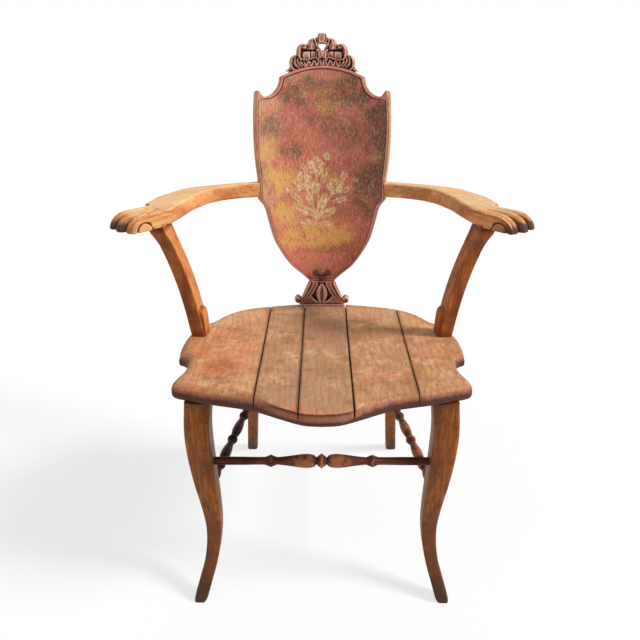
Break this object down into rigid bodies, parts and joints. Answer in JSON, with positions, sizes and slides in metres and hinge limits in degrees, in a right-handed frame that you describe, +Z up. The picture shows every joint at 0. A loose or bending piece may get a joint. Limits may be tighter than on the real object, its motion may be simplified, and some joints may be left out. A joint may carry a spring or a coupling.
{
  "type": "painted armchair",
  "caption": "Wooden armchair with a lobed plank seat, curved front legs, turned stretchers, carved hand-ended arms and a bent, painted shield back between a carved foot and a pierced crest.",
  "frame": {"origin": "on the floor under the middle of the chair's bounding box", "axes": "+Z up, -Y the way the sitter faces, +X to the right as seen from the front"},
  "size_m": [0.717, 0.5482, 0.9416],
  "materials": {
    "seat_wood": "worn, bare and dull, with stains",
    "bare_wood": "worn bare wood with a low sheen",
    "rear_leg_wood": "golden brown stain, low sheen",
    "stained_turning": "dark red-brown stain, satin",
    "painted_shield": "thin worn paint, dull",
    "carved_wood": "worn pink-brown paint with dark recesses",
    "dowel_wood": "plain, glued in"
  },
  "bodies": {
    "root": {"seat_board_1": "seat_wood", "seat_board_2": "seat_wood", "seat_board_3": "seat_wood", "seat_board_4": "seat_wood", "seat_board_5": "seat_wood", "seat_dowel_1": "dowel_wood", "seat_dowel_2": "dowel_wood", "seat_dowel_3": "dowel_wood", "seat_dowel_4": "dowel_wood", "seat_dowel_5": "dowel_wood", "seat_dowel_6": "dowel_wood", "seat_dowel_7": "dowel_wood", "seat_dowel_8": "dowel_wood", "front_leg_left": "bare_wood", "front_leg_right": "bare_wood", "rear_leg_left": "rear_leg_wood", "rear_leg_right": "rear_leg_wood", "front_stretcher": "stained_turning", "side_stretcher_left": "stained_turning", "side_stretcher_right": "stained_turning", "rear_stretcher": "stained_turning", "arm_post_left": "bare_wood", "arm_post_right": "bare_wood", "arm_left": "bare_wood", "arm_right": "bare_wood", "arm_dowel_left": "dowel_wood", "arm_dowel_right": "dowel_wood", "back_panel": "painted_shield", "crest_carving": "carved_wood", "crest_dowel_left": "dowel_wood", "crest_dowel_right": "dowel_wood", "foot_carving": "carved_wood", "foot_panel_dowel_left": "dowel_wood", "foot_panel_dowel_right": "dowel_wood", "foot_seat_dowel_left": "dowel_wood", "foot_seat_dowel_right": "dowel_wood", "berry_cluster": "carved_wood"}
  },
  "joints": []
}
